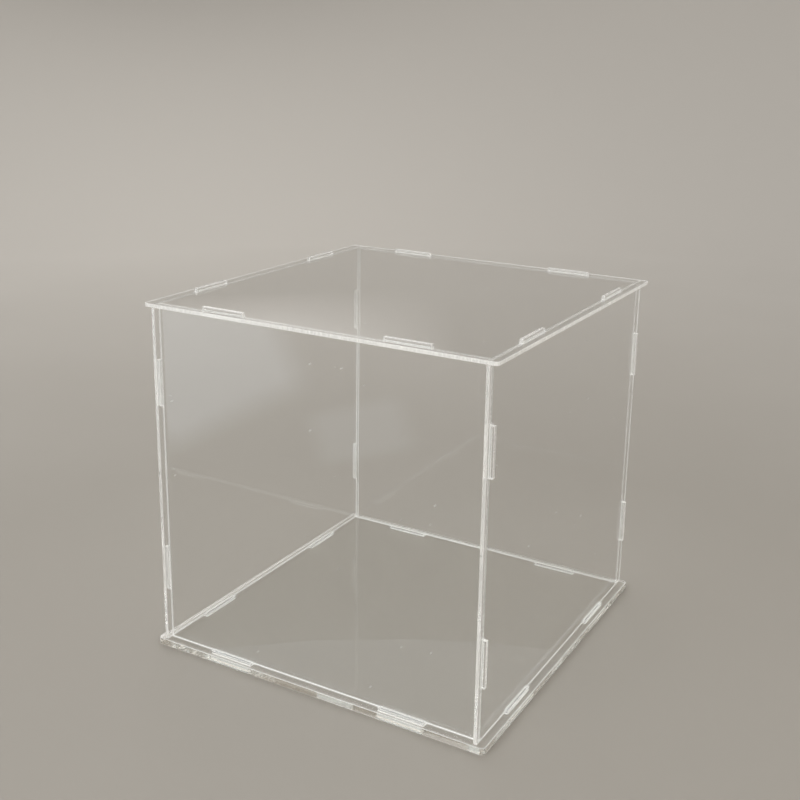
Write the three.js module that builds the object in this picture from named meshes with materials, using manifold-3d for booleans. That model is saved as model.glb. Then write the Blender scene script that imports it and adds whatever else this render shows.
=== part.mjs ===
// Clear acrylic display case: a thick base plate, four walls and a loose lid, all cut from flat sheet.
// Nothing is glued or screwed. Tabs on the walls pass through slots in the sheets that they meet.
// Millimetres, +Z up, origin at the middle of the base plate's underside, front towards -Y.

import * as THREE from 'three';
import { mergeVertices } from 'three/addons/utils/BufferGeometryUtils.js';
import Module from 'manifold-3d';

// Clear space inside the case
const INSIDE_WIDTH = 300;
const INSIDE_DEPTH = 300;
const INSIDE_HEIGHT = 300;

// Sheet stock
const WALL_SHEET = 3;
const LID_SHEET = 3;
const BASE_SHEET = 6;

// How far the lid and base run past the walls, and the side walls past the front and rear walls
const LID_OVERHANG = 7;
const BASE_OVERHANG = 7;
const SIDE_WALL_REACH = 5;
const PLATE_CORNER_RADIUS = 4;

// Tabs, two on an edge, and the slots that take them
const TAB_WIDTH = 40;
const TAB_SPACING = 168;
const TAB_PROUD = 2.8;
const BASE_TAB_RECESS = 0.2;
const SLOT_CLEARANCE = 0.3;

// Straight steps in a quarter-round corner
const CORNER_STEPS = 12;

// Faces and lengths that follow from the driving dimensions
const INNER_X = INSIDE_WIDTH / 2;
const INNER_Y = INSIDE_DEPTH / 2;
const OUTER_X = INNER_X + WALL_SHEET;
const OUTER_Y = INNER_Y + WALL_SHEET;
const WALL_MIDDLE_X = INNER_X + WALL_SHEET / 2;
const WALL_MIDDLE_Y = INNER_Y + WALL_SHEET / 2;
const WALL_FOOT_Z = BASE_SHEET;
const LID_Z = WALL_FOOT_Z + INSIDE_HEIGHT;
const SIDE_WALL_LENGTH = 2 * (OUTER_Y + SIDE_WALL_REACH);
const LID_TAB_LENGTH = LID_SHEET + TAB_PROUD;
const WALL_TAB_LENGTH = WALL_SHEET + TAB_PROUD;
const BASE_TAB_LENGTH = BASE_SHEET - BASE_TAB_RECESS;
const SLOT_LENGTH = TAB_WIDTH + 2 * SLOT_CLEARANCE;
const SLOT_WIDTH = WALL_SHEET + 2 * SLOT_CLEARANCE;
const TAB_OFFSETS = [-TAB_SPACING / 2, TAB_SPACING / 2];
const BOTH_SIDES = [-1, 1];

const wasm = await Module();
wasm.setup();

// Closed solid with the surface of a three.js geometry.
function solidFrom(geometry) {
  geometry.deleteAttribute('normal');
  geometry.deleteAttribute('uv');
  const merged = mergeVertices(geometry);
  const vertProperties = new Float32Array(merged.attributes.position.array);
  const triVerts = new Uint32Array(merged.index.array);
  return new wasm.Manifold(new wasm.Mesh({ numProp: 3, vertProperties, triVerts }));
}

// Geometry with the surface of a solid.
function geometryFrom(solid) {
  const { vertProperties, triVerts } = solid.getMesh();
  const geometry = new THREE.BufferGeometry();
  geometry.setAttribute('position', new THREE.BufferAttribute(vertProperties, 3));
  geometry.setIndex(new THREE.BufferAttribute(triVerts, 1));
  geometry.computeVertexNormals();
  return geometry;
}

// Straight-sided piece of flat sheet between two corners, lying on the XY plane.
function block(lowX, lowY, highX, highY, thickness) {
  const geometry = new THREE.BoxGeometry(highX - lowX, highY - lowY, thickness);
  geometry.translate((lowX + highX) / 2, (lowY + highY) / 2, thickness / 2);
  return solidFrom(geometry);
}

// Cutter for a through-slot, twice as thick as its sheet so that it passes both faces.
function slotCutter(x, y, lengthX, lengthY, thickness) {
  const geometry = new THREE.BoxGeometry(lengthX, lengthY, 2 * thickness);
  geometry.translate(x, y, thickness / 2);
  return solidFrom(geometry);
}

// Flat plate with rounded corners, lying on the XY plane about the origin.
function roundedPlate(width, depth, thickness) {
  const x = width / 2 - PLATE_CORNER_RADIUS;
  const y = depth / 2 - PLATE_CORNER_RADIUS;
  const quarter = Math.PI / 2;
  const shape = new THREE.Shape();
  shape.absarc(x, y, PLATE_CORNER_RADIUS, 0, quarter);
  shape.absarc(-x, y, PLATE_CORNER_RADIUS, quarter, 2 * quarter);
  shape.absarc(-x, -y, PLATE_CORNER_RADIUS, 2 * quarter, 3 * quarter);
  shape.absarc(x, -y, PLATE_CORNER_RADIUS, 3 * quarter, 4 * quarter);
  const options = { depth: thickness, bevelEnabled: false, curveSegments: CORNER_STEPS };
  return solidFrom(new THREE.ExtrudeGeometry(shape, options));
}

// The lid and the base have the same eight slots, two above or below each wall.
function cutPlateSlots(sheet, thickness) {
  let cut = sheet;
  for (const side of BOTH_SIDES) {
    for (const offset of TAB_OFFSETS) {
      cut = cut.subtract(slotCutter(offset, side * WALL_MIDDLE_Y, SLOT_LENGTH, SLOT_WIDTH, thickness));
      cut = cut.subtract(slotCutter(side * WALL_MIDDLE_X, offset, SLOT_WIDTH, SLOT_LENGTH, thickness));
    }
  }
  return cut;
}

// A side wall has two slots near each upright edge, for the tabs of the front and rear walls.
function cutSideWallSlots(sheet) {
  let cut = sheet;
  for (const side of BOTH_SIDES) {
    for (const offset of TAB_OFFSETS) {
      const height = INSIDE_HEIGHT / 2 + offset;
      cut = cut.subtract(slotCutter(side * WALL_MIDDLE_Y, height, SLOT_WIDTH, SLOT_LENGTH, WALL_SHEET));
    }
  }
  return cut;
}

// Flat panel with its foot on the X axis. Each strip across it ends in a tab on two opposite edges.
function tabbedPanel(width, sideTabLength) {
  let panel = block(-width / 2, 0, width / 2, INSIDE_HEIGHT, WALL_SHEET);
  for (const offset of TAB_OFFSETS) {
    const low = offset - TAB_WIDTH / 2;
    const high = offset + TAB_WIDTH / 2;
    panel = panel.add(block(low, -BASE_TAB_LENGTH, high, INSIDE_HEIGHT + LID_TAB_LENGTH, WALL_SHEET));
    if (sideTabLength > 0) {
      const reach = width / 2 + sideTabLength;
      panel = panel.add(block(-reach, INSIDE_HEIGHT / 2 + low, reach, INSIDE_HEIGHT / 2 + high, WALL_SHEET));
    }
  }
  return panel;
}

// One piece of clear acrylic.
function acrylicPiece(name, solid) {
  const material = new THREE.MeshStandardMaterial({
    color: 0xe4ebea,
    roughness: 0.06,
    metalness: 0,
    transparent: true,
    opacity: 0.3,
  });
  const mesh = new THREE.Mesh(geometryFrom(solid), material);
  mesh.name = name;
  return mesh;
}

// Horizontal plate with the eight slots, running past the walls by the overhang.
function plate(name, overhang, thickness, z) {
  const sheet = roundedPlate(2 * (OUTER_X + overhang), 2 * (OUTER_Y + overhang), thickness);
  const mesh = acrylicPiece(name, cutPlateSlots(sheet, thickness));
  mesh.position.z = z;
  return mesh;
}

// Front or rear wall, standing between the side walls, its sheet running from y towards -Y.
function crossWall(name, y) {
  const mesh = acrylicPiece(name, tabbedPanel(INSIDE_WIDTH, WALL_TAB_LENGTH));
  mesh.rotation.x = Math.PI / 2;
  mesh.position.set(0, y, WALL_FOOT_Z);
  return mesh;
}

// Left or right wall, its sheet running from x towards +X.
function sideWall(name, x) {
  const mesh = acrylicPiece(name, cutSideWallSlots(tabbedPanel(SIDE_WALL_LENGTH, 0)));
  mesh.rotation.set(Math.PI / 2, 0, Math.PI / 2, 'ZXY');
  mesh.position.set(x, 0, WALL_FOOT_Z);
  return mesh;
}

const walls = new THREE.Group();
walls.add(crossWall('front_wall', -INNER_Y));
walls.add(crossWall('rear_wall', OUTER_Y));
walls.add(sideWall('left_wall', -OUTER_X));
walls.add(sideWall('right_wall', INNER_X));

const displayCase = new THREE.Group();
displayCase.add(plate('base_plate', BASE_OVERHANG, BASE_SHEET, 0));
displayCase.add(walls);
displayCase.add(plate('lid', LID_OVERHANG, LID_SHEET, LID_Z));

export default displayCase;
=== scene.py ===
"""Looks of the clear acrylic display case: six laser-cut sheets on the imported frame, in metres."""

import logging
import math
from dataclasses import dataclass, field
from enum import Enum

import bpy
import numpy as np
from mathutils import Matrix, Vector
from mathutils.geometry import delaunay_2d_cdt


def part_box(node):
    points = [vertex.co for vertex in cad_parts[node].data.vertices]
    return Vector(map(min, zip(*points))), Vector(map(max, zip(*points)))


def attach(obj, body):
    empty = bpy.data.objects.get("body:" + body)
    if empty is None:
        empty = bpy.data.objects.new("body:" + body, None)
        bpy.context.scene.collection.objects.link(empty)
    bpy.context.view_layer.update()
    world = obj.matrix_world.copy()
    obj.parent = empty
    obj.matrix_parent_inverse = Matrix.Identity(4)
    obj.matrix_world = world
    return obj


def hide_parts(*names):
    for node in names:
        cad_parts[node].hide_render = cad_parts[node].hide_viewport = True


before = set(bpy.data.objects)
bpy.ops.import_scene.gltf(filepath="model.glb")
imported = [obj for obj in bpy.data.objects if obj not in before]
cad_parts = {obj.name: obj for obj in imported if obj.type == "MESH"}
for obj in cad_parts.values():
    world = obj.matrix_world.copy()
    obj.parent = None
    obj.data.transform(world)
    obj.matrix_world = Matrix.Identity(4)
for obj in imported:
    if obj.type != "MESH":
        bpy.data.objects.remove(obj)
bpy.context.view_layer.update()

LOG = logging.getLogger("display_case")

# Names under which a sheet carries its own coordinates and the haze along its cuts
SHEET_UV = "sheet"
CUT_HAZE = "cut_haze"

# Acrylic's index of refraction, and the radius that the laser leaves on an arris
REFRACTION = 1.49
LASER_ARRIS = 0.00022

# The span in which fractal noise mostly lies
NOISE_LOW, NOISE_HIGH = 0.3, 0.7

# Numbers of the Mix node's colour sockets, whose names it shares with its other sockets
MIX_FIRST, MIX_SECOND, MIX_RESULT = 6, 7, 2

# What the triangulation gives, triangles within the outline less the holes, and when points count as one
WITHOUT_HOLES = 2
SAME_POINT = 1e-9

QUARTER_TURN = math.pi / 2.0

Point2 = tuple[float, float]
Point3 = tuple[float, float, float]
Colour = tuple[float, float, float]


class CutKind(Enum):
    """How a cut edge of a sheet is finished; the value is its material index on the sheet."""

    LASER = 1
    CLEAR = 2
    SCRAPED = 3
    GLOSSY = 4


class Lie(Enum):
    """Which way a sheet lies: the axes of its width, its height and its thickness."""

    FLAT = ((1, 0, 0), (0, 1, 0), (0, 0, 1))
    FACING_FRONT = ((1, 0, 0), (0, 0, 1), (0, -1, 0))
    FACING_SIDE = ((0, 1, 0), (0, 0, 1), (1, 0, 0))


class NoiseSpace(Enum):
    """Whether noise runs over a flat sheet or through space; the value is the node's word for it."""

    FLAT = "2D"
    SOLID = "3D"


class ShaderBoard:
    """The node tree of a new material or lamp, with short calls for adding and joining nodes."""

    def __init__(self, owner: bpy.types.Material | bpy.types.Light) -> None:
        """Start an empty tree.

        Args:
            owner: The material or lamp.
        """
        self.owner = owner
        owner.use_nodes = True
        self.tree: bpy.types.NodeTree = owner.node_tree
        self.tree.nodes.clear()

    def add(self, kind: str, values: dict | None = None, **settings: object) -> bpy.types.Node:
        """Add a node.

        Args:
            kind: The node's type without its ShaderNode prefix.
            values: Input names or numbers with a plain value or the output to join.
            settings: The node's own settings.

        Returns:
            The new node.
        """
        node = self.tree.nodes.new("ShaderNode" + kind)
        for key, value in settings.items():
            setattr(node, key, value)
        for key, value in (values or {}).items():
            if isinstance(value, bpy.types.NodeSocket):
                self.tree.links.new(value, node.inputs[key])
            else:
                node.inputs[key].default_value = value
        return node

    def ranged(self, source: bpy.types.NodeSocket, low: Point2, high: Point2) -> bpy.types.NodeSocket:
        """Map a value from one span to another, held at both ends.

        Args:
            source: The value.
            low: A value and what it becomes.
            high: A second value and what it becomes.

        Returns:
            The mapped value.
        """
        values = {"From Min": low[0], "To Min": low[1], "From Max": high[0], "To Max": high[1]}
        return self.add("MapRange", {"Value": source, **values}).outputs["Result"]

    def swung(self, noise: bpy.types.NodeSocket, low: float, high: float) -> bpy.types.NodeSocket:
        """Return a value that noise swings from low to high."""
        return self.ranged(noise, (NOISE_LOW, low), (NOISE_HIGH, high))

    def times(self, first: bpy.types.NodeSocket, second: bpy.types.NodeSocket) -> bpy.types.NodeSocket:
        """Return the product of two values."""
        return self.add("Math", {0: first, 1: second}, operation="MULTIPLY").outputs["Value"]

    def stretched(self, scale: Point3 = (1.0, 1.0, 1.0)) -> bpy.types.NodeSocket:
        """Return the sheet's own coordinates, in metres, times a scale for each direction."""
        place = self.add("UVMap", uv_map=SHEET_UV).outputs["UV"]
        return self.add("Mapping", {"Vector": place, "Scale": scale}).outputs["Vector"]

    def noise(
        self, vector: bpy.types.NodeSocket, scale: float, detail: float, space: NoiseSpace = NoiseSpace.FLAT
    ) -> bpy.types.Node:
        """Return a node of fractal noise over a vector."""
        values = {"Vector": vector, "Scale": scale, "Detail": detail}
        return self.add("TexNoise", values, noise_dimensions=space.value)

    def inside(self) -> bpy.types.NodeSocket:
        """Return one where a ray meets a surface from inside its sheet, and zero from outside."""
        return self.add("NewGeometry").outputs["Backfacing"]

    def blend(self, share: bpy.types.NodeSocket, first: Colour, second: Colour) -> bpy.types.NodeSocket:
        """Mix two colours.

        Args:
            share: How far the mix lies from the first to the second.
            first: The colour where the share is zero.
            second: The colour where the share is one.

        Returns:
            The mix.
        """
        mix = self.add("Mix", {"Factor": share}, data_type="RGBA")
        mix.inputs[MIX_FIRST].default_value = (*first, 1.0)
        mix.inputs[MIX_SECOND].default_value = (*second, 1.0)
        return mix.outputs[MIX_RESULT]

    def finish(
        self, surface: bpy.types.Node, lamp_share: bpy.types.NodeSocket | tuple[float, float, float, float]
    ) -> bpy.types.Material:
        """Join a surface to the output, with lamps shining through it.

        Args:
            surface: The shader that is seen.
            lamp_share: The share of a lamp's light that passes, one colour or the output that gives it.

        Returns:
            The finished material.
        """
        shadow = self.add("LightPath").outputs["Is Shadow Ray"]
        open_to_lamps = self.add("BsdfTransparent", {"Color": lamp_share})
        both = self.add("MixShader", {0: shadow, 1: surface.outputs[0], 2: open_to_lamps.outputs[0]})
        self.add("OutputMaterial", {"Surface": both.outputs[0]})
        return self.owner


@dataclass(frozen=True)
class PolishedFace:
    """Cast acrylic's polished face: clear, a little wavy, with sparse dust and faint smudges.

    Dust lies in a share of the cells of a scattered grid, and its reach is a share of a cell. Haze is the
    frost beside a cut, and veiled is the share of light that a speck or a full frost lets through.
    """

    name: str
    tint: Colour = (0.985, 0.986, 0.985)
    lamp_share: Colour = (0.955, 0.96, 0.957)
    dust_cells_per_metre: float = 36.0
    dust_share: float = 0.1
    dust_onset: float = 0.02
    dust_reach: float = 0.021
    dust_core: float = 0.4
    ragged_scale: float = 2400.0
    ragged_shift: float = 0.0004
    smudge_scale: float = 11.0
    smudge_span: Point2 = (0.48, 0.78)
    smudge_roughness: float = 0.012
    wave_scale: float = 7.0
    wave_height: float = 0.00006
    frost_scale: float = 900.0
    haze: float = 0.5
    thinnest_haze: float = 0.85
    veiled: float = 0.08

    def dust(self, board: ShaderBoard) -> bpy.types.NodeSocket:
        """Specks: discs round the points of a scattered grid, kept in a few of its cells, with ragged rims.

        Args:
            board: The material's nodes.

        Returns:
            One on a speck and zero elsewhere.
        """
        place = board.stretched()
        ragged = board.noise(place, self.ragged_scale, 1.0).outputs["Color"]
        shift = board.add("VectorMath", {0: ragged, "Scale": self.ragged_shift}, operation="SCALE")
        moved = board.add("VectorMath", {0: place, 1: shift.outputs["Vector"]}, operation="ADD")
        values = {"Vector": moved.outputs["Vector"], "Scale": self.dust_cells_per_metre}
        cells = board.add("TexVoronoi", values, voronoi_dimensions=NoiseSpace.FLAT.value)
        lot = board.add("SeparateColor", {0: cells.outputs["Color"]}).outputs[0]
        bare = 1.0 - self.dust_share
        kept = board.ranged(lot, (bare, 0.0), (bare + self.dust_onset, 1.0))
        core = self.dust_core * self.dust_reach
        near = board.ranged(cells.outputs["Distance"], (core, 1.0), (self.dust_reach, 0.0))
        return board.times(kept, near)

    def material(self) -> bpy.types.Material:
        """Make the material.

        Returns:
            Clear acrylic whose specks and cut rims let less light through.
        """
        board = ShaderBoard(bpy.data.materials.new(self.name))
        place = board.stretched()
        smudge = board.noise(place, self.smudge_scale, 4.0).outputs["Fac"]
        start, full = self.smudge_span
        rim = board.add("Attribute", attribute_name=CUT_HAZE).outputs["Fac"]
        frost = board.noise(place, self.frost_scale, 2.0).outputs["Fac"]
        haze = board.times(rim, board.swung(frost, self.thinnest_haze * self.haze, self.haze))
        veil = board.add("Math", {0: self.dust(board), 1: haze}, operation="MAXIMUM").outputs["Value"]
        height = board.noise(place, self.wave_scale, 1.0).outputs["Fac"]
        wave = board.add("Bump", {"Height": height, "Strength": 1.0, "Distance": self.wave_height})
        values = {
            "Base Color": (*self.tint, 1.0),
            "IOR": REFRACTION,
            "Transmission Weight": board.ranged(veil, (0.0, 1.0), (1.0, self.veiled)),
            "Roughness": board.ranged(smudge, (start, 0.0), (full, self.smudge_roughness)),
            "Normal": wave.outputs["Normal"],
        }
        return board.finish(board.add("BsdfPrincipled", values), (*self.lamp_share, 1.0))


@dataclass(frozen=True)
class CutEdge:
    """A laser-cut edge: fine upright striations that scatter light, over clear acrylic.

    Clearest and frostiest bound the share of light that passes, of which the inner share is left where the
    edge is met from inside the sheet. Scales are per metre along the edge and across it.
    """

    name: str
    dull: Colour = (0.965, 0.955, 0.93)
    bright: Colour = (0.99, 0.985, 0.965)
    clearest: float = 0.36
    frostiest: float = 0.22
    inner_share: float = 0.15
    smoothest: float = 0.22
    roughest: float = 0.3
    lamp_in: Colour = (0.85, 0.85, 0.84)
    lamp_out: Colour = (0.6, 0.6, 0.59)
    striation_scale: Point3 = (5200.0, 90.0, 1.0)
    striation_depth: float = 0.000004
    striation_strength: float = 0.7
    drift_scale: Point3 = (26.0, 8.0, 1.0)

    def clearness(self, board: ShaderBoard) -> bpy.types.NodeSocket:
        """Share of light that passes the edge, which drifts along it and is less from inside the sheet.

        Args:
            board: The material's nodes.

        Returns:
            The share.
        """
        drift = board.noise(board.stretched(self.drift_scale), 1.0, 3.0).outputs["Fac"]
        outer = board.swung(drift, self.clearest, self.frostiest)
        return board.times(outer, board.ranged(board.inside(), (0.0, 1.0), (1.0, self.inner_share)))

    def lamp_share(self, board: ShaderBoard) -> bpy.types.NodeSocket:
        """Return the share of a lamp's light that passes the edge, into the sheet or out of it."""
        return board.blend(board.inside(), self.lamp_out, self.lamp_in)

    def material(self) -> bpy.types.Material:
        """Make the material.

        Returns:
            Whitish acrylic that drifts along the edge and is striped across it.
        """
        board = ShaderBoard(bpy.data.materials.new(self.name))
        stripes = board.noise(board.stretched(self.striation_scale), 1.0, 2.0).outputs["Fac"]
        relief = {"Height": stripes, "Strength": self.striation_strength, "Distance": self.striation_depth}
        values = {
            "Base Color": board.blend(board.swung(stripes, 0.0, 1.0), self.dull, self.bright),
            "IOR": REFRACTION,
            "Transmission Weight": self.clearness(board),
            "Roughness": board.swung(stripes, self.smoothest, self.roughest),
            "Normal": board.add("Bump", relief).outputs["Normal"],
        }
        return board.finish(board.add("BsdfPrincipled", values), self.lamp_share(board))


LASER_CUT = CutEdge("laser_cut_edge")
SIDE_EDGE = CutEdge(
    "side_wall_edge", clearest=0.8, frostiest=0.62, inner_share=0.5, smoothest=0.1, roughest=0.16
)
BASE_RIM = CutEdge(
    "base_rim_edge",
    dull=(0.89, 0.85, 0.78),
    bright=(0.92, 0.88, 0.815),
    clearest=0.97,
    frostiest=0.93,
    inner_share=0.98,
    smoothest=0.08,
    roughest=0.1,
    lamp_in=(0.95, 0.95, 0.94),
    lamp_out=(0.05, 0.05, 0.05),
    striation_depth=0.0000004,
)
BASE_ARRIS = CutEdge(
    "base_arris_edge",
    clearest=0.52,
    frostiest=0.48,
    inner_share=0.8,
    lamp_in=(0.3, 0.3, 0.29),
    lamp_out=(0.05, 0.05, 0.05),
)
# Slot walls of the base: their blue-white colours are painted cool light from the front, not the acrylic's
# own tint.
BASE_SLOT_PAINTED_COOL = CutEdge(
    "base_slot_edge_painted_cool",
    dull=(0.91, 0.965, 0.985),
    bright=(0.95, 0.985, 1.0),
    clearest=0.8,
    frostiest=0.66,
    inner_share=0.9,
    smoothest=0.04,
    roughest=0.08,
    lamp_in=(0.9, 0.91, 0.91),
    lamp_out=(0.8, 0.81, 0.81),
    striation_depth=0.000002,
)
WALL_FACE = PolishedFace("wall_face")
LID_FACE = PolishedFace("lid_face", dust_share=0.07)
BASE_FACE = PolishedFace(
    "base_face", tint=(0.98, 0.978, 0.968), lamp_share=(0.97, 0.97, 0.965), dust_share=0.16, haze=0.7
)


@dataclass(frozen=True)
class StudioPaper:
    """The pale seamless paper that the case stands on, its colour painted lighter further out, where less
    light falls.
    """

    # Floor is the paper's colour by the case; between near and far the colour is painted towards the lighter
    # wall colour, as painted light where the lamps reach less.
    floor: Colour = (0.385, 0.36, 0.325)
    wall: Colour = (0.60, 0.575, 0.54)
    near: float = 0.45
    far: float = 1.9
    stray: float = 0.05
    mottle_scale: float = 3.0
    grain_scale: float = 700.0
    grain_strength: float = 0.15
    grain_height: float = 0.0002
    roughness: float = 0.6
    shine: float = 0.2

    def material(self) -> bpy.types.Material:
        """Make the material.

        Returns:
            Matt paper with a faint mottle and grain, its colour painted lighter with distance from the case.
        """
        board = ShaderBoard(bpy.data.materials.new("studio_paper"))
        place = board.add("TexCoord").outputs["Object"]
        mottle = board.noise(place, self.mottle_scale, 5.0, NoiseSpace.SOLID).outputs["Fac"]
        grain = board.noise(place, self.grain_scale, 2.0, NoiseSpace.SOLID).outputs["Fac"]
        reach = board.add("VectorMath", {0: place}, operation="LENGTH").outputs["Value"]
        stray = board.swung(mottle, -self.stray, self.stray)
        ragged_reach = board.add("Math", {0: reach, 1: stray}, operation="ADD").outputs["Value"]
        # Painted light: the share of the lighter colour grows with distance from the case, to make up for
        # the light that falls off there.
        share = board.ranged(ragged_reach, (self.near, 0.0), (self.far, 1.0))
        relief = {"Height": grain, "Strength": self.grain_strength, "Distance": self.grain_height}
        values = {
            "Base Color": board.blend(share, self.floor, self.wall),
            "Roughness": self.roughness,
            "Specular IOR Level": self.shine,
            "Normal": board.add("Bump", relief).outputs["Normal"],
        }
        surface = board.add("BsdfPrincipled", values)
        board.add("OutputMaterial", {"Surface": surface.outputs[0]})
        return board.owner


def ring_quads(rows: int, columns: int) -> np.ndarray:
    """Quads of a grid whose last row joins its first.

    Point (i, j) has number i columns + j. Quad (i, j) has the corners (i, j), (i + 1, j), (i + 1, j + 1) and
    (i, j + 1), with i + 1 counted round.

    Args:
        rows: Points round the ring.
        columns: Points across it.

    Returns:
        Point numbers, on a grid of quads by four corners.
    """
    i, j = np.indices((rows, columns - 1))
    start, end = i * columns + j, (i + 1) % rows * columns + j
    return np.stack((start, end, end + 1, start + 1), axis=2)


@dataclass(frozen=True)
class Tabs:
    """The tabs on one straight edge: their middles along it, their width and how far they reach."""

    middles: Point2 = (0.0, 0.0)
    width: float = 0.0
    reach: float = 0.0

    def edge(self, start: float, end: float) -> np.ndarray:
        """Corners of an edge that runs from start to end and steps out by the reach over each tab.

        Args:
            start: Where the edge begins along its own line.
            end: Where it ends, which isn't a corner of this edge.

        Returns:
            Distance along the edge and step outwards, one row per corner.
        """
        if self.reach == 0.0:
            return np.array([(start, 0.0)])
        sign = math.copysign(1.0, end - start)
        middles = np.sort(np.array(self.middles) * sign) * sign
        sides = middles[:, None] + sign * self.width / 2.0 * np.array((-1.0, -1.0, 1.0, 1.0))
        steps = np.tile(self.reach * np.array((0.0, 1.0, 1.0, 0.0)), (2, 1))
        corners = np.stack((sides, steps), axis=2).reshape(-1, 2)
        return np.vstack(((start, 0.0), corners))


@dataclass(frozen=True)
class CutLoop:
    """One closed line cut through a sheet, with the sheet on its left."""

    corners: np.ndarray
    radius: float
    kind: CutKind = CutKind.LASER
    arris_kind: CutKind = CutKind.LASER
    arris: float = LASER_ARRIS
    steps: int = 5
    sharpest: float = 0.00002

    def walk(self, insets: np.ndarray) -> np.ndarray:
        """Rings of points round the loop, each moved into the sheet by an inset.

        Every straight side moves in by the inset. A corner that the sheet fills is rounded by the radius
        less the inset, and one that is cut into the sheet by the radius plus the inset. With d the way in, e
        the way out and r that radius, the point at angle a is corner - r d + r e + r (d sin a - e cos a).

        Args:
            insets: How far each ring lies from the cut.

        Returns:
            Points on a grid of places round the loop by insets.
        """
        step = np.roll(self.corners, -1, axis=0) - self.corners
        out = step / np.linalg.norm(step, axis=1)[:, None]
        into = np.roll(out, 1, axis=0)
        filled = np.sign(into[:, 0] * out[:, 1] - into[:, 1] * out[:, 0])
        left = np.stack((-into[:, 1] - out[:, 1], into[:, 0] + out[:, 0]), axis=1)
        corner = self.corners[:, None, None, :] + insets[None, None, :, None] * left[:, None, None, :]
        radius = np.maximum(self.radius - insets[None, :] * filled[:, None], self.sharpest)[:, None, :, None]
        angle = np.linspace(0.0, QUARTER_TURN, self.steps)[None, :, None, None]
        d, e = into[:, None, None, :], out[:, None, None, :]
        points = corner + radius * (e - d + d * np.sin(angle) - e * np.cos(angle))
        return points.reshape(-1, insets.size, 2)


def panel_loop(
    low: Point2, high: Point2, foot: Tabs, top: Tabs, sides: Tabs, radius: float, kind: CutKind
) -> CutLoop:
    """Outline of an upright panel with tabs, walked anticlockwise from its lower left corner.

    Args:
        low: Lower left corner without tabs.
        high: Upper right corner without tabs.
        foot: Tabs along the lower edge.
        top: Tabs along the upper edge.
        sides: Tabs along both upright edges.
        radius: Rounding of all corners.
        kind: How the edge between the arrises is finished.

    Returns:
        The outline.
    """
    lower = foot.edge(low[0], high[0])
    right = sides.edge(low[1], high[1])
    upper = top.edge(high[0], low[0])
    left = sides.edge(high[1], low[1])
    corners = np.vstack((
        np.column_stack((lower[:, 0], low[1] - lower[:, 1])),
        np.column_stack((high[0] + right[:, 1], right[:, 0])),
        np.column_stack((upper[:, 0], high[1] + upper[:, 1])),
        np.column_stack((low[0] - left[:, 1], left[:, 0])),
    ))
    return CutLoop(corners, radius, kind)


def slot_loop(
    middle: Point2, size: Point2, radius: float, kind: CutKind = CutKind.LASER, arris: float = LASER_ARRIS
) -> CutLoop:
    """Outline of a slot, walked clockwise so that the sheet is on its left.

    Args:
        middle: The slot's middle.
        size: Its length along the sheet's width and height.
        radius: Rounding of its corners.
        kind: How its walls are finished.
        arris: The radius of its arrises.

    Returns:
        The outline.
    """
    half = 0.5 * np.array(size) * np.array(((-1, -1), (-1, 1), (1, 1), (1, -1)))
    return CutLoop(np.array(middle) + half, radius, kind, arris=arris)


@dataclass(frozen=True)
class RimPatch:
    """The cut edge along one loop, on a grid of places round the loop by points of its section.

    The grid's points carry haze. Its quads, numbered from the patch's first point, carry material numbers
    and the sheet's coordinates at their corners.
    """

    points: np.ndarray
    haze: np.ndarray
    quads: np.ndarray
    kinds: np.ndarray
    coordinates: np.ndarray


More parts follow.
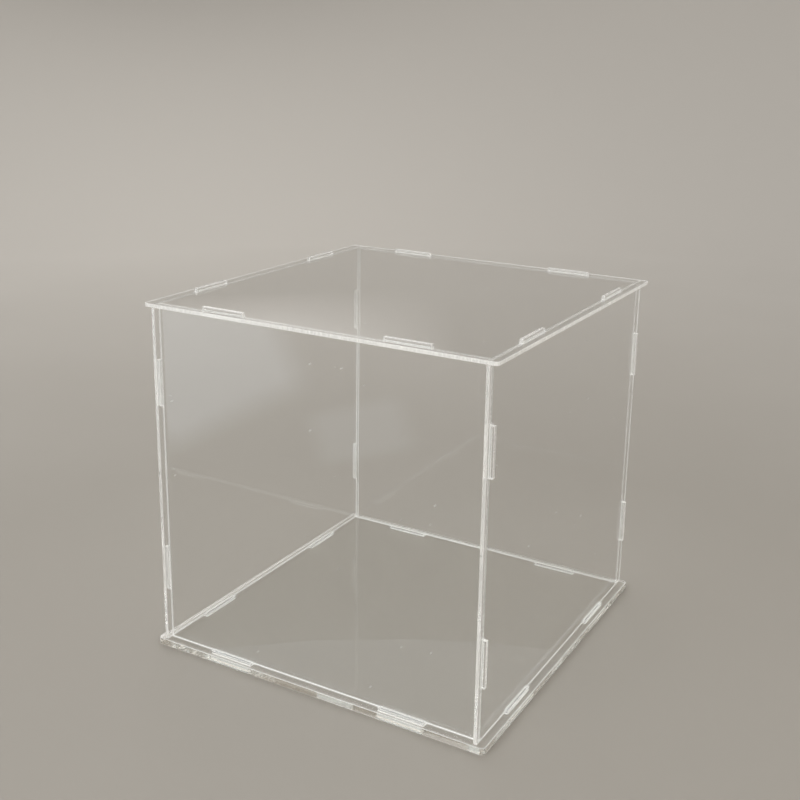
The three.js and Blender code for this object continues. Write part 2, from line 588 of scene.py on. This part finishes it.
@dataclass
class CutSheet:
    """A flat sheet bounded by cut loops, the first of them its outline."""

    name: str
    lie: Lie
    origin: Point3
    thickness: float
    loops: list[CutLoop]
    arris_steps: int = 6
    haze_width: float = 0.0012

    def profile(self, arris: float) -> tuple[np.ndarray, np.ndarray]:
        """Section of a cut edge, from the lower face round both arrises to the upper face.

        Each arris is a quarter circle, and a flat strip as wide as the haze runs in on both faces.

        Args:
            arris: The radius of both arrises.

        Returns:
            Distance in from the cut and height in the sheet at each point of the section.
        """
        turn = np.linspace(0.0, QUARTER_TURN, self.arris_steps)
        inset = arris * (1.0 - np.sin(turn))
        height = arris * (1.0 - np.cos(turn))
        hazy = arris + self.haze_width
        insets = np.concatenate(((hazy,), inset, inset[::-1], (hazy,)))
        heights = np.concatenate(((0.0,), height, self.thickness - height[::-1], (self.thickness,)))
        return insets, heights

    def rim(self, loop: CutLoop) -> RimPatch:
        """Carry the section along a loop: place i on the loop's ring of inset j, at height j.

        The strips on the faces take their place in the sheet as coordinates, and the cut itself takes the
        distance along the loop and across the section.

        Args:
            loop: The cut line.

        Returns:
            The patch.
        """
        insets, heights = self.profile(loop.arris)
        flat = loop.walk(insets)
        rows, columns = flat.shape[:2]
        height = np.broadcast_to(heights[None, :, None], (rows, columns, 1))
        points = np.concatenate((flat, height), axis=2)
        quads = ring_quads(rows, columns)
        cut = loop.walk(np.zeros(1))[:, 0, :]
        along = np.concatenate(((0.0,), np.cumsum(np.linalg.norm(np.roll(cut, -1, 0) - cut, axis=1))))
        across = np.concatenate(((0.0,), np.cumsum(np.hypot(np.diff(insets), np.diff(heights)))))
        i, j = np.indices(quads.shape[:2])
        places, levels = np.stack((i, i + 1, i + 1, i), axis=2), np.stack((j, j, j + 1, j + 1), axis=2)
        reach = np.stack((along[places], across[levels]), axis=3)
        on_face = np.zeros(quads.shape[:2], dtype=bool)
        on_face[:, (0, -1)] = True
        kinds = np.where(on_face, 0, loop.arris_kind.value)
        kinds[:, self.arris_steps] = loop.kind.value
        coordinates = np.where(on_face[:, :, None, None], flat.reshape(-1, 2)[quads], reach)
        haze = np.tile(np.concatenate(((0.0,), np.ones(columns - 2), (0.0,))), (rows, 1))
        return RimPatch(points, haze, quads, kinds, coordinates)

    def cap(self, rings: list[np.ndarray]) -> np.ndarray:
        """Triangles of a flat face between the innermost rings of all loops.

        Args:
            rings: Each loop's ring of points in the plane of the sheet, the outline first.

        Returns:
            Corner numbers, counted through the rings in order.
        """
        count = np.cumsum([0] + [len(ring) for ring in rings])
        faces = [list(range(a, b)) for a, b in zip(count[:-1], count[1:])]
        corners = [Vector(point) for point in np.vstack(rings).tolist()]
        return np.array(delaunay_2d_cdt(corners, [], faces, WITHOUT_HOLES, SAME_POINT)[2], dtype=np.int64)

    def mesh(self) -> bpy.types.Mesh:
        """Put rims and flat faces together as one closed mesh.

        Every place round a loop has the same number of section points, the first of them on the lower face
        and the last on the upper face, so the faces' rings are counted from place to place.

        Returns:
            The mesh, with sheet coordinates in metres, material numbers and the haze along its cuts.
        """
        patches = [self.rim(loop) for loop in self.loops]
        points = np.vstack([patch.points.reshape(-1, 3) for patch in patches])
        firsts = np.cumsum([0] + [patch.haze.size for patch in patches])
        quads = np.vstack([(patch.quads + first).reshape(-1, 4) for patch, first in zip(patches, firsts)])
        section = patches[0].haze.shape[1]
        lower = np.arange(0, len(points), section)
        cap = self.cap([patch.points[:, 0, :2] for patch in patches])
        triangles = np.vstack((lower[cap[:, ::-1]], lower[cap] + section - 1))
        mesh = bpy.data.meshes.new(self.name)
        placed = np.array(self.origin) + points @ np.array(self.lie.value, dtype=float)
        mesh.from_pydata(placed.tolist(), [], quads.tolist() + triangles.tolist())
        kinds = np.concatenate([patch.kinds.reshape(-1) for patch in patches] + [np.zeros(len(triangles))])
        mesh.polygons.foreach_set("material_index", kinds.astype(np.int32))
        cut_uv = np.vstack([patch.coordinates.reshape(-1, 2) for patch in patches])
        uv = np.vstack((cut_uv, points[triangles.reshape(-1), :2])).astype(np.float32)
        mesh.uv_layers.new(name=SHEET_UV).data.foreach_set("uv", uv.reshape(-1))
        haze = np.concatenate([patch.haze.reshape(-1) for patch in patches]).astype(np.float32)
        mesh.attributes.new(CUT_HAZE, "FLOAT", "POINT").data.foreach_set("value", haze)
        mesh.validate()
        mesh.update()
        return mesh

    def build(self, finishes: list[bpy.types.Material]) -> bpy.types.Object:
        """Make the sheet's object, with materials up to the last kind that its cuts have.

        Args:
            finishes: Materials of the faces and then of the kinds of cut, in the order of their numbers.

        Returns:
            The object, at the origin, with its place in its mesh.
        """
        mesh = self.mesh()
        last = max(max(loop.kind.value, loop.arris_kind.value) for loop in self.loops)
        for finish in finishes[: last + 1]:
            mesh.materials.append(finish)
        piece = bpy.data.objects.new(self.name, mesh)
        bpy.context.scene.collection.objects.link(piece)
        return piece


@dataclass(frozen=True)
class Joinery:
    """Sizes that all sheets share: tabs, slots, rounding and the air between sheets that meet."""

    tab_width: float = 0.040
    tab_spacing: float = 0.168
    slot_clearance: float = 0.0003
    tab_rounding: float = 0.0005
    seat_gap: float = 0.00006

    @property
    def middles(self) -> Point2:
        """Return where the two tabs of an edge have their middles."""
        return (-self.tab_spacing / 2.0, self.tab_spacing / 2.0)

    def slot(self, sheet: float) -> Point2:
        """Return the width and length of a slot that takes a tab of this sheet."""
        return (sheet + 2.0 * self.slot_clearance, self.tab_width + 2.0 * self.slot_clearance)


@dataclass
class SlottedPlate:
    """The base plate or the lid: a rounded square plate with two slots over each wall."""

    node: str
    body: str
    slot_name: str
    joinery: Joinery
    rim: CutKind = CutKind.LASER
    arris_kind: CutKind = CutKind.LASER
    slot_kind: CutKind = CutKind.LASER
    arris: float = LASER_ARRIS
    slot_arris: float = LASER_ARRIS
    corner_radius: float = 0.004
    corner_steps: int = 17

    def slots(self) -> list[CutLoop]:
        """Work the slots out from the boxes of the walls that stand in them.

        Returns:
            The eight slots.
        """
        loops = []
        radius = self.joinery.slot_clearance
        for name, across in (("front_wall", 1), ("rear_wall", 1), ("left_wall", 0), ("right_wall", 0)):
            low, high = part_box(name)
            middle = (low[across] + high[across]) / 2.0
            narrow, long = self.joinery.slot(high[across] - low[across])
            for offset in self.joinery.middles:
                place = (offset, middle) if across else (middle, offset)
                size = (long, narrow) if across else (narrow, long)
                loops.append(slot_loop(place, size, radius, self.slot_kind, self.slot_arris))
        return loops

    def sheet(self) -> CutSheet:
        """Work the plate out from its own box.

        Returns:
            The plate with its slots.
        """
        low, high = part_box(self.node)
        corners = np.array(((low.x, low.y), (high.x, low.y), (high.x, high.y), (low.x, high.y)))
        kinds = (self.rim, self.arris_kind)
        outline = CutLoop(corners, self.corner_radius, *kinds, self.arris, self.corner_steps)
        loops = [outline, *self.slots()]
        return CutSheet(self.node + "_sheet", Lie.FLAT, (0.0, 0.0, low.z), high.z - low.z, loops)

    def build(self, finishes: list[bpy.types.Material]) -> bpy.types.Object:
        """Build the plate, ride it on its body and put it in its node's place.

        Args:
            finishes: Materials of the faces and then of the kinds of cut, in the order of their numbers.

        Returns:
            The plate.
        """
        piece = self.sheet().build(finishes)
        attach(piece, self.body)
        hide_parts(self.node)
        return piece


@dataclass
class WallRing:
    """The four walls: the front and rear ones stand between the side ones, with tabs through their slots."""

    joinery: Joinery
    body: str = "walls"
    slot_name: str = "wall_acrylic"
    pieces: list[bpy.types.Object] = field(default_factory=list)

    def heights(self) -> Point2:
        """Return the lower and upper edge of every wall, just clear of the base and the lid."""
        gap = self.joinery.seat_gap
        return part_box("base_plate")[1].z + gap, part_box("lid")[0].z - gap

    def edge_tabs(self, node: str) -> tuple[Tabs, Tabs]:
        """Tabs of a wall's lower and upper edge.

        Args:
            node: The wall's node, whose box ends at the tabs' ends.

        Returns:
            The tabs below and above.
        """
        foot, top = self.heights()
        low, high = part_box(node)
        width, middles = self.joinery.tab_width, self.joinery.middles
        return Tabs(middles, width, foot - low.z), Tabs(middles, width, high.z - top)

    def side_tab_middles(self) -> Point2:
        """Return the heights at which the front and rear walls' tabs pass the side walls."""
        middle = sum(self.heights()) / 2.0
        return middle + self.joinery.middles[0], middle + self.joinery.middles[1]

    def cross_wall(self, node: str) -> CutSheet:
        """Front or rear wall, with tabs on all four edges.

        Args:
            node: The wall's node.

        Returns:
            The sheet.
        """
        foot, top = self.heights()
        low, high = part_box(node)
        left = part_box("left_wall")[1].x + self.joinery.seat_gap
        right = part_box("right_wall")[0].x - self.joinery.seat_gap
        below, above = self.edge_tabs(node)
        sides = Tabs(self.side_tab_middles(), self.joinery.tab_width, high.x - right)
        ends, rounding = ((left, foot), (right, top)), self.joinery.tab_rounding
        outline = panel_loop(*ends, below, above, sides, rounding, CutKind.LASER)
        return CutSheet(node + "_sheet", Lie.FACING_FRONT, (0.0, high.y, 0.0), high.y - low.y, [outline])

    def side_wall(self, node: str) -> CutSheet:
        """Left or right wall, with tabs above and below and two slots near each upright edge.

        Args:
            node: The wall's node.

        Returns:
            The sheet.
        """
        foot, top = self.heights()
        low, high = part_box(node)
        below, above = self.edge_tabs(node)
        ends, rounding = ((low.y, foot), (high.y, top)), self.joinery.tab_rounding
        loops = [panel_loop(*ends, below, above, Tabs(), rounding, CutKind.CLEAR)]
        for name in ("front_wall", "rear_wall"):
            wall_low, wall_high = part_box(name)
            middle = (wall_low.y + wall_high.y) / 2.0
            size = self.joinery.slot(wall_high.y - wall_low.y)
            for height in self.side_tab_middles():
                place = (middle, height)
                loops.append(slot_loop(place, size, self.joinery.slot_clearance, CutKind.CLEAR))
        return CutSheet(node + "_sheet", Lie.FACING_SIDE, (low.x, 0.0, 0.0), high.x - low.x, loops)

    def build(self, finishes: list[bpy.types.Material]) -> list[bpy.types.Object]:
        """Build the walls, ride them on their body and put each in its node's place.

        Args:
            finishes: Materials of the faces, the laser-cut edges and the side walls' clearer edges.

        Returns:
            The four walls.
        """
        sheets = {
            "front_wall": self.cross_wall("front_wall"),
            "rear_wall": self.cross_wall("rear_wall"),
            "left_wall": self.side_wall("left_wall"),
            "right_wall": self.side_wall("right_wall"),
        }
        for node, sheet in sheets.items():
            piece = sheet.build(finishes)
            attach(piece, self.body)
            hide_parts(node)
            self.pieces.append(piece)
        return self.pieces


@dataclass(frozen=True)
class Softbox:
    """One soft lamp, whose glow fades towards its sides. Its roll is in degrees."""

    name: str
    place: Point3
    aim: Point3
    size: Point2
    power: float
    colour: Colour
    fade: float = 0.35
    roll: float = 0.0
    mirrored_only: bool = False

    def build(self) -> bpy.types.Object:
        """Hang the lamp, turned to what it lights.

        Returns:
            The lamp, which the camera sees only as a reflection.
        """
        lamp = bpy.data.lights.new(self.name, "AREA")
        lamp.shape = "RECTANGLE"
        lamp.size, lamp.size_y = self.size
        lamp.energy = self.power
        lamp.color = self.colour
        piece = bpy.data.objects.new(self.name, lamp)
        piece.location = self.place
        facing = (Vector(self.aim) - Vector(self.place)).to_track_quat("-Z", "Y").to_matrix()
        piece.rotation_euler = (facing @ Matrix.Rotation(math.radians(self.roll), 3, "Z")).to_euler()
        piece.visible_camera = False
        piece.visible_transmission = False
        piece.visible_diffuse = not self.mirrored_only
        self.soften(lamp)
        bpy.context.scene.collection.objects.link(piece)
        return piece

    def soften(self, lamp: bpy.types.Light) -> None:
        """Let the glow rise from each side of the lamp over a share of its width.

        Args:
            lamp: The lamp.
        """
        board = ShaderBoard(lamp)
        place = board.add("NewGeometry").outputs["Parametric"]
        sides = board.add("SeparateXYZ", {"Vector": place})
        end = 1.0 - self.fade
        glow = board.ranged(sides.outputs["X"], (0.0, 0.0), (self.fade, 1.0))
        for side, dark, full in (("X", 1.0, end), ("Y", 0.0, self.fade), ("Y", 1.0, end)):
            glow = board.times(glow, board.ranged(sides.outputs[side], (dark, 0.0), (full, 1.0)))
        emission = board.add("Emission", {"Strength": glow})
        board.add("OutputLight", {"Surface": emission.outputs[0]})


@dataclass
class Studio:
    """Floor, lamps and camera round the case, with angles in degrees and the sensor in millimetres."""

    floor_hub: float = 0.05
    floor_radius: float = 1.9
    floor_rings: int = 24
    floor_spokes: int = 96
    cove_radius: float = 1.0
    cove_steps: int = 17
    wall_height: float = 1.7
    floor_drop: float = 0.0003
    sky: Colour = (1.0, 0.985, 0.96)
    sky_strength: float = 0.5
    camera_place: Point3 = (0.4736, -0.8365, 0.5239)
    camera_heading: float = 29.296
    camera_pitch: float = 15.269
    camera_roll: float = 1.039
    camera_clip: Point2 = (0.01, 50.0)
    sensor_width: float = 36.0
    picture_pixels: float = 800.0
    focal_pixels: float = 1137.0
    shift: Point2 = (-0.018, -0.07)
    bounces: int = 64

    def floor_section(self) -> tuple[np.ndarray, np.ndarray]:
        """Section of the floor: flat out to its radius, a quarter circle up, and a straight wall.

        Returns:
            Distance from the middle and height at each point of the section.
        """
        turn = np.linspace(0.0, QUARTER_TURN, self.cove_steps)[1:]
        level = np.linspace(self.floor_hub, self.floor_radius, self.floor_rings)
        curve = self.floor_radius + self.cove_radius * np.sin(turn)
        rise = self.cove_radius * (1.0 - np.cos(turn))
        radius = np.concatenate((level, curve, (self.floor_radius + self.cove_radius,)))
        height = np.concatenate((np.zeros(self.floor_rings), rise, (self.wall_height,)))
        return radius, height - self.floor_drop

    def build_floor(self) -> bpy.types.Object:
        """Sweep the floor's section once round the case, and close its middle with a fan.

        Returns:
            The floor.
        """
        radius, height = self.floor_section()
        columns = radius.size
        angle = np.linspace(0.0, 2.0 * math.pi, self.floor_spokes, endpoint=False)[:, None]
        level = np.broadcast_to(height, (self.floor_spokes, columns))
        ring = np.stack((radius * np.cos(angle), radius * np.sin(angle), level), axis=2)
        points = np.vstack((ring.reshape(-1, 3), ((0.0, 0.0, -self.floor_drop),)))
        quads = ring_quads(self.floor_spokes, columns).reshape(-1, 4)[:, (0, 3, 2, 1)]
        hub = columns * np.arange(self.floor_spokes)
        fan = np.stack((np.full(self.floor_spokes, len(points) - 1), hub, np.roll(hub, -1)), axis=1)
        mesh = bpy.data.meshes.new("studio_floor")
        mesh.from_pydata(points.tolist(), [], quads.tolist() + fan.tolist())
        mesh.polygons.foreach_set("use_smooth", np.ones(len(mesh.polygons), dtype=bool))
        mesh.materials.append(StudioPaper().material())
        mesh.update()
        floor = bpy.data.objects.new("studio_floor", mesh)
        bpy.context.scene.collection.objects.link(floor)
        return floor

    def build_sky(self) -> None:
        """Set the even light of the room."""
        world = bpy.data.worlds.new("studio_room")
        world.use_nodes = True
        background = world.node_tree.nodes["Background"]
        background.inputs["Color"].default_value = (*self.sky, 1.0)
        background.inputs["Strength"].default_value = self.sky_strength
        bpy.context.scene.world = world

    def build_lamps(self) -> list[bpy.types.Object]:
        """Hang four soft lamps, and two cards that show only as pale patches in the front wall.

        Returns:
            The lamps.
        """
        middle = (0.0, 0.0, 0.15)
        wide, broad = (2.4, 2.4), (1.7, 1.7)
        warm, cool = (1.0, 0.985, 0.96), (0.82, 0.92, 1.0)
        upper, lower = (-0.3655, -0.46, 0.163), (-0.148, -0.46, 0.105)
        upper_aim, lower_aim = (upper[0], 0.0, upper[2]), (lower[0], 0.0, lower[2])
        upper_size, lower_size = (0.27, 0.2), (0.15, 0.07)
        lamps = (
            Softbox("overhead_lamp", (-0.3, 0.4, 2.4), middle, wide, 14.2, warm),
            Softbox("rear_lamp", (-1.5, 1.5, 1.6), middle, broad, 26.0, (1.0, 0.98, 0.95)),
            Softbox("right_lamp", (1.9, -0.9, 1.5), middle, broad, 42.6, (1.0, 0.97, 0.925)),
            Softbox("front_lamp", (-0.6, -2.0, 1.5), middle, broad, 45.0, (0.95, 0.98, 1.0)),
            Softbox("upper_card", upper, upper_aim, upper_size, 0.27, cool, 0.16, 30.0, mirrored_only=True),
            Softbox("lower_card", lower, lower_aim, lower_size, 0.026, cool, 0.2, 20.0, mirrored_only=True),
        )
        return [lamp.build() for lamp in lamps]

    def build_camera(self) -> bpy.types.Object:
        """Stand the camera where the photograph was taken from.

        Returns:
            The camera.
        """
        lens = bpy.data.cameras.new("photo_camera")
        lens.sensor_width = self.sensor_width
        lens.lens = self.focal_pixels * self.sensor_width / self.picture_pixels
        lens.shift_x, lens.shift_y = self.shift
        lens.clip_start, lens.clip_end = self.camera_clip
        camera = bpy.data.objects.new("photo_camera", lens)
        turn = (
            Matrix.Rotation(math.radians(self.camera_heading), 4, "Z")
            @ Matrix.Rotation(QUARTER_TURN - math.radians(self.camera_pitch), 4, "X")
            @ Matrix.Rotation(math.radians(self.camera_roll), 4, "Z")
        )
        camera.matrix_world = Matrix.Translation(self.camera_place) @ turn
        bpy.context.scene.collection.objects.link(camera)
        bpy.context.scene.camera = camera
        return camera

    def set_light_paths(self) -> None:
        """Let light pass through all six sheets and their edges, and keep colours as they are."""
        scene = bpy.context.scene
        scene.view_settings.view_transform = "Standard"
        scene.cycles.max_bounces = self.bounces
        scene.cycles.glossy_bounces = self.bounces
        scene.cycles.transmission_bounces = self.bounces
        scene.cycles.transparent_max_bounces = self.bounces


def report(piece: bpy.types.Object) -> None:
    """Log a finished piece by name and number of faces."""
    LOG.info("%s: %d faces", piece.name, len(piece.data.polygons))


def main() -> None:
    """Build the studio and the three sub-assemblies, and report each piece."""
    logging.basicConfig(level=logging.INFO, format="%(name)s: %(message)s")
    studio = Studio()
    studio.set_light_paths()
    studio.build_camera()
    studio.build_sky()
    studio.build_lamps()
    report(studio.build_floor())
    joinery = Joinery()
    laser = LASER_CUT.material()
    base = SlottedPlate(
        "base_plate",
        "base",
        "base_acrylic",
        joinery,
        rim=CutKind.CLEAR,
        arris_kind=CutKind.SCRAPED,
        slot_kind=CutKind.GLOSSY,
        arris=0.0004,
        slot_arris=0.0009,
    )
    base_cuts = [laser, BASE_RIM.material(), BASE_ARRIS.material(), BASE_SLOT_PAINTED_COOL.material()]
    report(base.build([BASE_FACE.material(), *base_cuts]))
    for wall in WallRing(joinery).build([WALL_FACE.material(), laser, SIDE_EDGE.material()]):
        report(wall)
    report(SlottedPlate("lid", "lid", "lid_acrylic", joinery).build([LID_FACE.material(), laser]))


if __name__ == "__main__":
    main()
